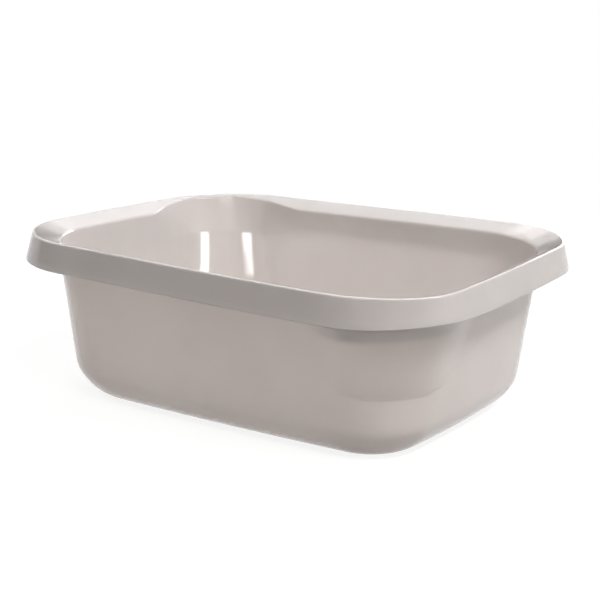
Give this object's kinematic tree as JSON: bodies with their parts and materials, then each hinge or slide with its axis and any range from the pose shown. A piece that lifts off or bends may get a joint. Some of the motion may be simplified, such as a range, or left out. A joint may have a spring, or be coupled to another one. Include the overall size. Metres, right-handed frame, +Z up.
{
  "type": "plastic basin",
  "caption": "Oblong washing-up basin with rounded corners, tapered walls, a turned-down rim to grip and a pouring lip in two opposite corners.",
  "frame": {"origin": "middle of the basin's outline on the ground that it stands on", "axes": "+Z up out of the basin's mouth, +X along its long sides; the pouring lips are at the corners (+X,-Y) and (-X,+Y)"},
  "size_m": [0.39, 0.31, 0.1317],
  "materials": {
    "basin": "smooth moulded polypropylene, warm grey, semi-gloss"
  },
  "bodies": {
    "root": {"basin": "basin"}
  },
  "joints": []
}
